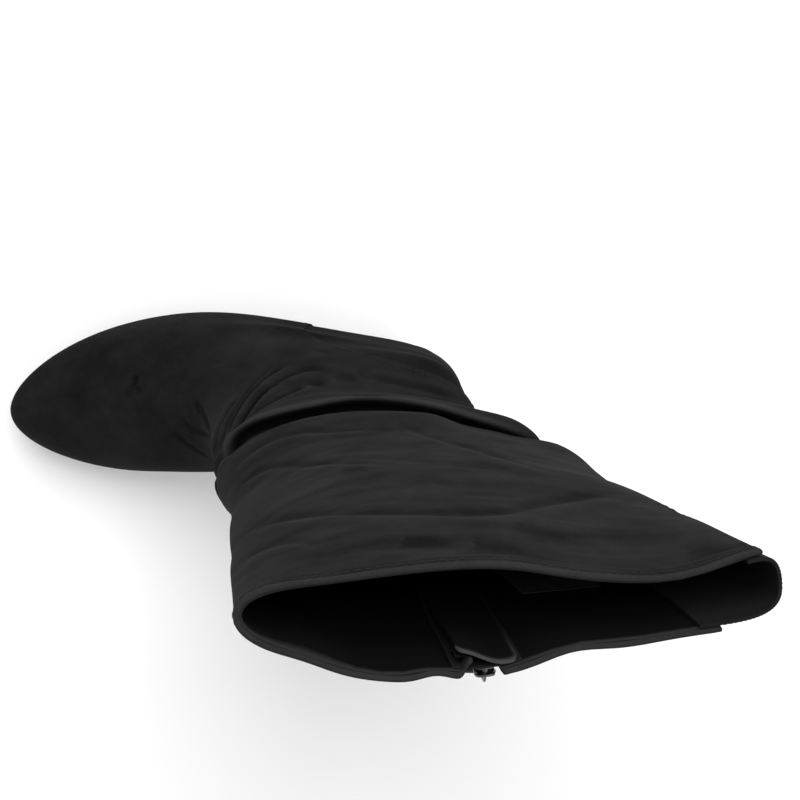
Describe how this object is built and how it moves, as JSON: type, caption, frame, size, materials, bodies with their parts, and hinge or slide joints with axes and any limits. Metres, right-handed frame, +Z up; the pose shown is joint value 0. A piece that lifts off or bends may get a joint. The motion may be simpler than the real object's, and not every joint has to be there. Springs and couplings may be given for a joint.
{
  "type": "slouch boot",
  "caption": "Soft knee-high slouch boot for the right foot, with a covered block heel, a folded slack shaft, a side zip with a hanging pull and an elastic gore at the back of the collar.",
  "frame": {"origin": "on the floor, at the middle of the underside of the heel's top lift", "axes": "+X to the toe, +Y to the inner side of the leg, where the zip is, +Z up to the collar"},
  "size_m": [0.3047, 0.1033, 0.3471],
  "materials": {
    "suede": "brushed nap, matt black",
    "elastic": "fine ribbed elastic, matt",
    "lining": "smooth knit lining",
    "rubber": "matt moulded",
    "tape": "woven tape",
    "coil": "satin nylon coil",
    "metal": "dark gunmetal"
  },
  "bodies": {
    "boot": {"upper": "suede", "counter": "suede", "heel_block": "suede", "back_gore": "elastic", "outsole": "rubber", "top_lift": "rubber", "insole": "lining", "zip_guard": "lining", "zip_tape": "tape", "zip_coil": "coil", "zip_slider": "metal"},
    "pull": {"zip_pull": "metal"}
  },
  "joints": [
    {"name": "pull_swing", "type": "hinge", "parent": "boot", "child": "pull", "pos_m": [0.01427, 0.05494, 0.33598], "axis": [0.9979, 0.0639, 0.0042], "range_deg": [0, 170]}
  ]
}
